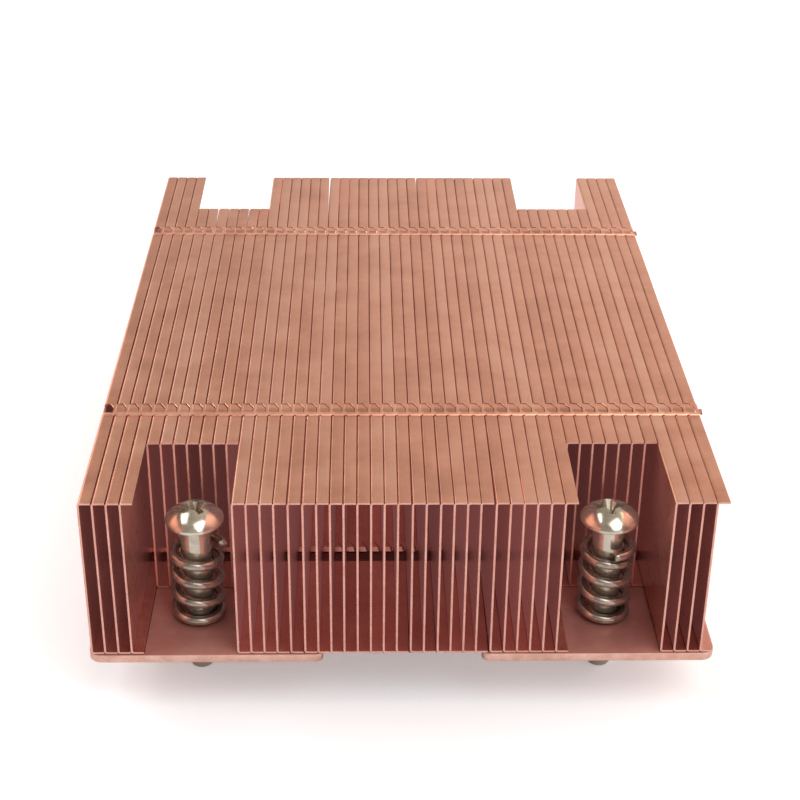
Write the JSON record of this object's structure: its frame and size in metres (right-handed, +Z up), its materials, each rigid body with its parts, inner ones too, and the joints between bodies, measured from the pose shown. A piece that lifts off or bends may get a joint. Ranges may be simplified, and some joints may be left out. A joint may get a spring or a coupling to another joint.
{
  "type": "passive server cpu heatsink",
  "caption": "Low passive copper heat sink: a stack of folded, interlocked fins on a thin base plate, with captive spring screws standing in notches at its corners.",
  "frame": {"origin": "centre of the contact face, the underside of the pad in the middle of the base plate", "axes": "+Z up, from the contact face towards the fins' tops; +Y along the fins, the way the air flows; +X across the fins, the way their flanges point"},
  "size_m": [0.0853, 0.1134, 0.0325],
  "materials": {
    "copper_sheet": "bare rolled copper sheet, satin, with brighter cut and folded edges",
    "copper_plate": "bare copper plate, satin, heat-tinted by soldering",
    "nickel_screw": "bright nickel plating on steel",
    "spring_wire": "drawn stainless spring wire",
    "clip_steel": "stamped and oiled spring steel"
  },
  "bodies": {
    "heat_sink": {"base_plate": "copper_plate", "fin_01": "copper_sheet", "fin_02": "copper_sheet", "fin_03": "copper_sheet", "fin_04": "copper_sheet", "fin_05": "copper_sheet", "fin_06": "copper_sheet", "fin_07": "copper_sheet", "fin_08": "copper_sheet", "fin_09": "copper_sheet", "fin_10": "copper_sheet", "fin_11": "copper_sheet", "fin_12": "copper_sheet", "fin_13": "copper_sheet", "fin_14": "copper_sheet", "fin_15": "copper_sheet", "fin_16": "copper_sheet", "fin_17": "copper_sheet", "fin_18": "copper_sheet", "fin_19": "copper_sheet", "fin_20": "copper_sheet", "fin_21": "copper_sheet", "fin_22": "copper_sheet", "fin_23": "copper_sheet", "fin_24": "copper_sheet", "fin_25": "copper_sheet", "fin_26": "copper_sheet", "fin_27": "copper_sheet", "fin_28": "copper_sheet", "fin_29": "copper_sheet", "fin_30": "copper_sheet", "fin_31": "copper_sheet", "fin_32": "copper_sheet", "fin_33": "copper_sheet", "fin_34": "copper_sheet", "fin_35": "copper_sheet", "fin_36": "copper_sheet", "fin_37": "copper_sheet", "fin_38": "copper_sheet", "fin_39": "copper_sheet", "fin_40": "copper_sheet", "fin_41": "copper_sheet", "fin_42": "copper_sheet", "fin_43": "copper_sheet", "fin_44": "copper_sheet", "fin_45": "copper_sheet", "fin_46": "copper_sheet", "fin_47": "copper_sheet", "spring_front_left": "spring_wire", "spring_front_right": "spring_wire", "spring_rear_left": "spring_wire", "spring_rear_right": "spring_wire"},
    "front_left_clip": {"clip_front_left": "clip_steel"},
    "front_left_screw": {"screw_front_left": "nickel_screw"},
    "front_right_clip": {"clip_front_right": "clip_steel"},
    "front_right_screw": {"screw_front_right": "nickel_screw"},
    "rear_left_clip": {"clip_rear_left": "clip_steel"},
    "rear_left_screw": {"screw_rear_left": "nickel_screw"},
    "rear_right_clip": {"clip_rear_right": "clip_steel"},
    "rear_right_screw": {"screw_rear_right": "nickel_screw"}
  },
  "joints": [
    {"name": "front_left_screw_travel", "type": "slide", "parent": "heat_sink", "child": "front_left_clip", "axis": [0, 0, -1], "range_m": [0, 0.008], "deforming": ["spring_front_left"]},
    {"name": "front_left_screw_turn", "type": "hinge", "parent": "front_left_clip", "child": "front_left_screw", "pos_m": [-0.028, -0.047, 0.0007], "axis": [0, 0, 1], "continuous": true},
    {"name": "front_right_screw_travel", "type": "slide", "parent": "heat_sink", "child": "front_right_clip", "axis": [0, 0, -1], "range_m": [0, 0.008], "deforming": ["spring_front_right"]},
    {"name": "front_right_screw_turn", "type": "hinge", "parent": "front_right_clip", "child": "front_right_screw", "pos_m": [0.028, -0.047, 0.0007], "axis": [0, 0, 1], "continuous": true},
    {"name": "rear_left_screw_travel", "type": "slide", "parent": "heat_sink", "child": "rear_left_clip", "axis": [0, 0, -1], "range_m": [0, 0.008], "deforming": ["spring_rear_left"]},
    {"name": "rear_left_screw_turn", "type": "hinge", "parent": "rear_left_clip", "child": "rear_left_screw", "pos_m": [-0.028, 0.047, 0.0007], "axis": [0, 0, 1], "continuous": true},
    {"name": "rear_right_screw_travel", "type": "slide", "parent": "heat_sink", "child": "rear_right_clip", "axis": [0, 0, -1], "range_m": [0, 0.008], "deforming": ["spring_rear_right"]},
    {"name": "rear_right_screw_turn", "type": "hinge", "parent": "rear_right_clip", "child": "rear_right_screw", "pos_m": [0.028, 0.047, 0.0007], "axis": [0, 0, 1], "continuous": true}
  ]
}
